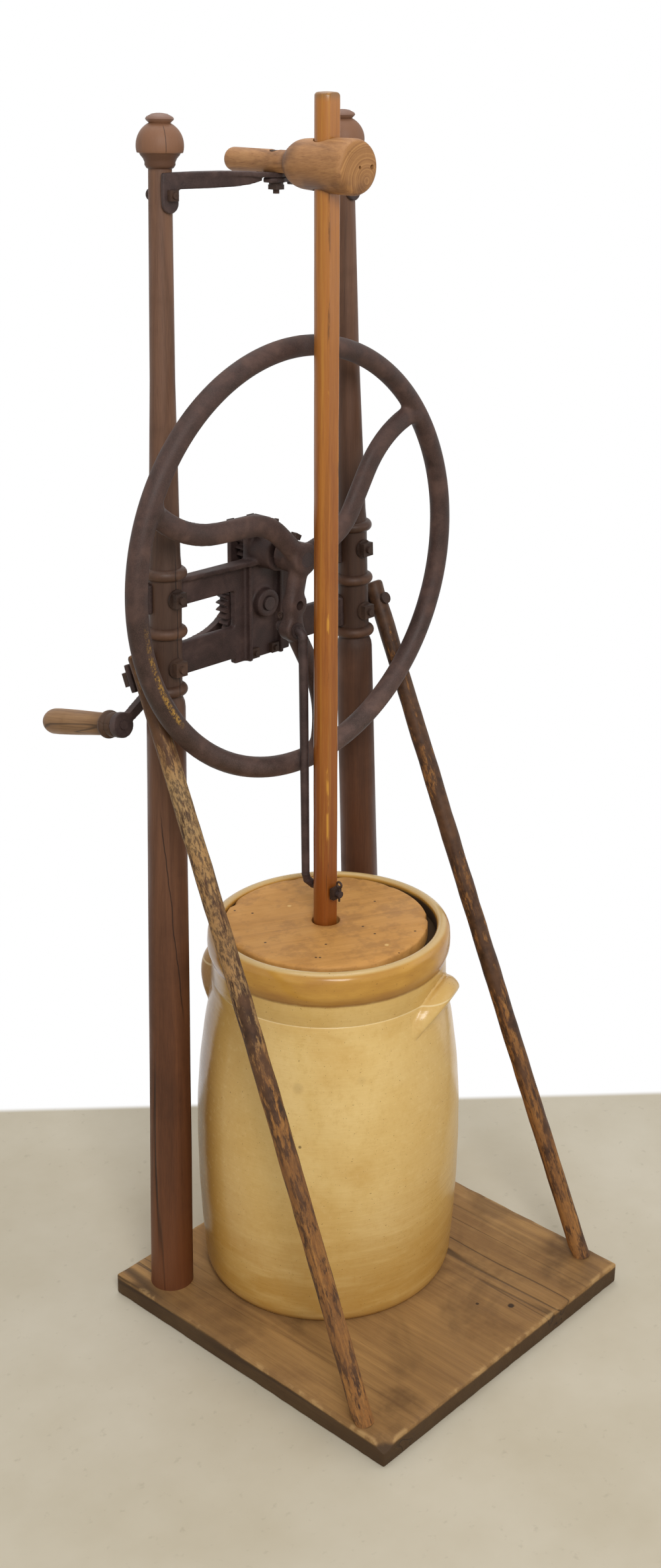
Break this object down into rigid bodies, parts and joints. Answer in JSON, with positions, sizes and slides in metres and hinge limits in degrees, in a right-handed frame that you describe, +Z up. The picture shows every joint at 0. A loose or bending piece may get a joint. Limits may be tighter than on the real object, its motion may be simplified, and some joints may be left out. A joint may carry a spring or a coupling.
{
  "type": "butter churn",
  "caption": "Floor butter churn: a hand crank, gears and a spoked flywheel drive a long dasher up and down in a lidded stoneware crock on a wooden board.",
  "frame": {"origin": "centre of the floor board's underside", "axes": "+X right seen from the front, -Y to the front (braces), +Y to the rear (crank), +Z up"},
  "size_m": [0.5756, 0.6443, 1.591],
  "materials": {
    "board_wood": "worn and stained",
    "post_wood": "dark, dry varnish",
    "brace_wood": "worn dark paint",
    "cast_iron": "dark, lightly rusted",
    "wrought_iron": "dark, lightly rusted",
    "iron_hardware": "dark, rusted",
    "dasher_wood": "glossy varnish",
    "foot_wood": "bare",
    "guide_wood": "bare, stained",
    "grip_wood": "bare, handled",
    "lid_wood": "bare pine",
    "stoneware": "salt-buff glaze"
  },
  "bodies": {
    "frame": {"base_board": "board_wood", "left_post": "post_wood", "right_post": "post_wood", "left_brace": "brace_wood", "right_brace": "brace_wood", "gear_frame": "cast_iron", "bearing_bridge": "cast_iron", "frame_bolts": "iron_hardware", "frame_washers": "iron_hardware", "frame_nuts": "iron_hardware", "bridge_bolts": "iron_hardware", "bridge_nuts": "iron_hardware", "brace_bolts": "iron_hardware", "brace_nuts": "iron_hardware", "guide_block": "guide_wood", "left_arm": "wrought_iron", "right_arm": "wrought_iron", "arm_bolts": "iron_hardware", "arm_nuts": "iron_hardware", "guide_bolt": "iron_hardware", "guide_washer": "iron_hardware", "guide_nut": "iron_hardware", "crock": "stoneware"},
    "flywheel": {"flywheel": "cast_iron", "flywheel_shaft": "wrought_iron", "hub_set_screw": "iron_hardware", "pinion": "cast_iron", "pinion_key": "wrought_iron"},
    "crank": {"crank_gear": "cast_iron", "crank_shaft": "wrought_iron", "gear_key": "wrought_iron", "crank_arm": "wrought_iron", "crank_nut": "iron_hardware", "grip_spindle": "wrought_iron"},
    "grip": {"grip": "grip_wood"},
    "pitman": {"pitman": "wrought_iron", "crank_pin_collar": "wrought_iron", "crank_pin_washer": "wrought_iron", "crank_pin_cotter": "iron_hardware"},
    "dasher": {"dasher": "dasher_wood", "dasher_pin": "wrought_iron", "dasher_nut": "iron_hardware", "dasher_cotter": "iron_hardware", "foot_slat_lower": "foot_wood", "foot_slat_upper": "foot_wood", "foot_peg": "foot_wood"},
    "lid": {"lid": "lid_wood"}
  },
  "joints": [
    {"name": "flywheel_spin", "type": "hinge", "parent": "frame", "child": "flywheel", "pos_m": [0, 0.128, 1.006], "axis": [0, 1, 0], "continuous": true},
    {"name": "crank_spin", "type": "hinge", "parent": "frame", "child": "crank", "pos_m": [0, 0.219, 0.934], "axis": [0, 1, 0], "continuous": true},
    {"name": "grip_spin", "type": "hinge", "parent": "crank", "child": "grip", "pos_m": [-0.20128, 0.2485, 0.80329], "axis": [0, 0.9781, -0.2079], "continuous": true},
    {"name": "pitman_swing", "type": "hinge", "parent": "flywheel", "child": "pitman", "pos_m": [-0.01755, 0.128, 0.91569], "axis": [0, 1, 0], "continuous": true},
    {"name": "dasher_slide", "type": "slide", "parent": "frame", "child": "dasher", "axis": [0, 0, 1], "range_m": [0, 0.18]},
    {"name": "lid_lift", "type": "slide", "parent": "frame", "child": "lid", "axis": [0, 0, 1], "range_m": [0, 0.03]}
  ],
  "couplings": [
    {"joint": "crank_spin", "follows": "flywheel_spin", "ratio": -0.33333},
    {"joint": "pitman_swing", "follows": "flywheel_spin", "ratio": -1}
  ]
}
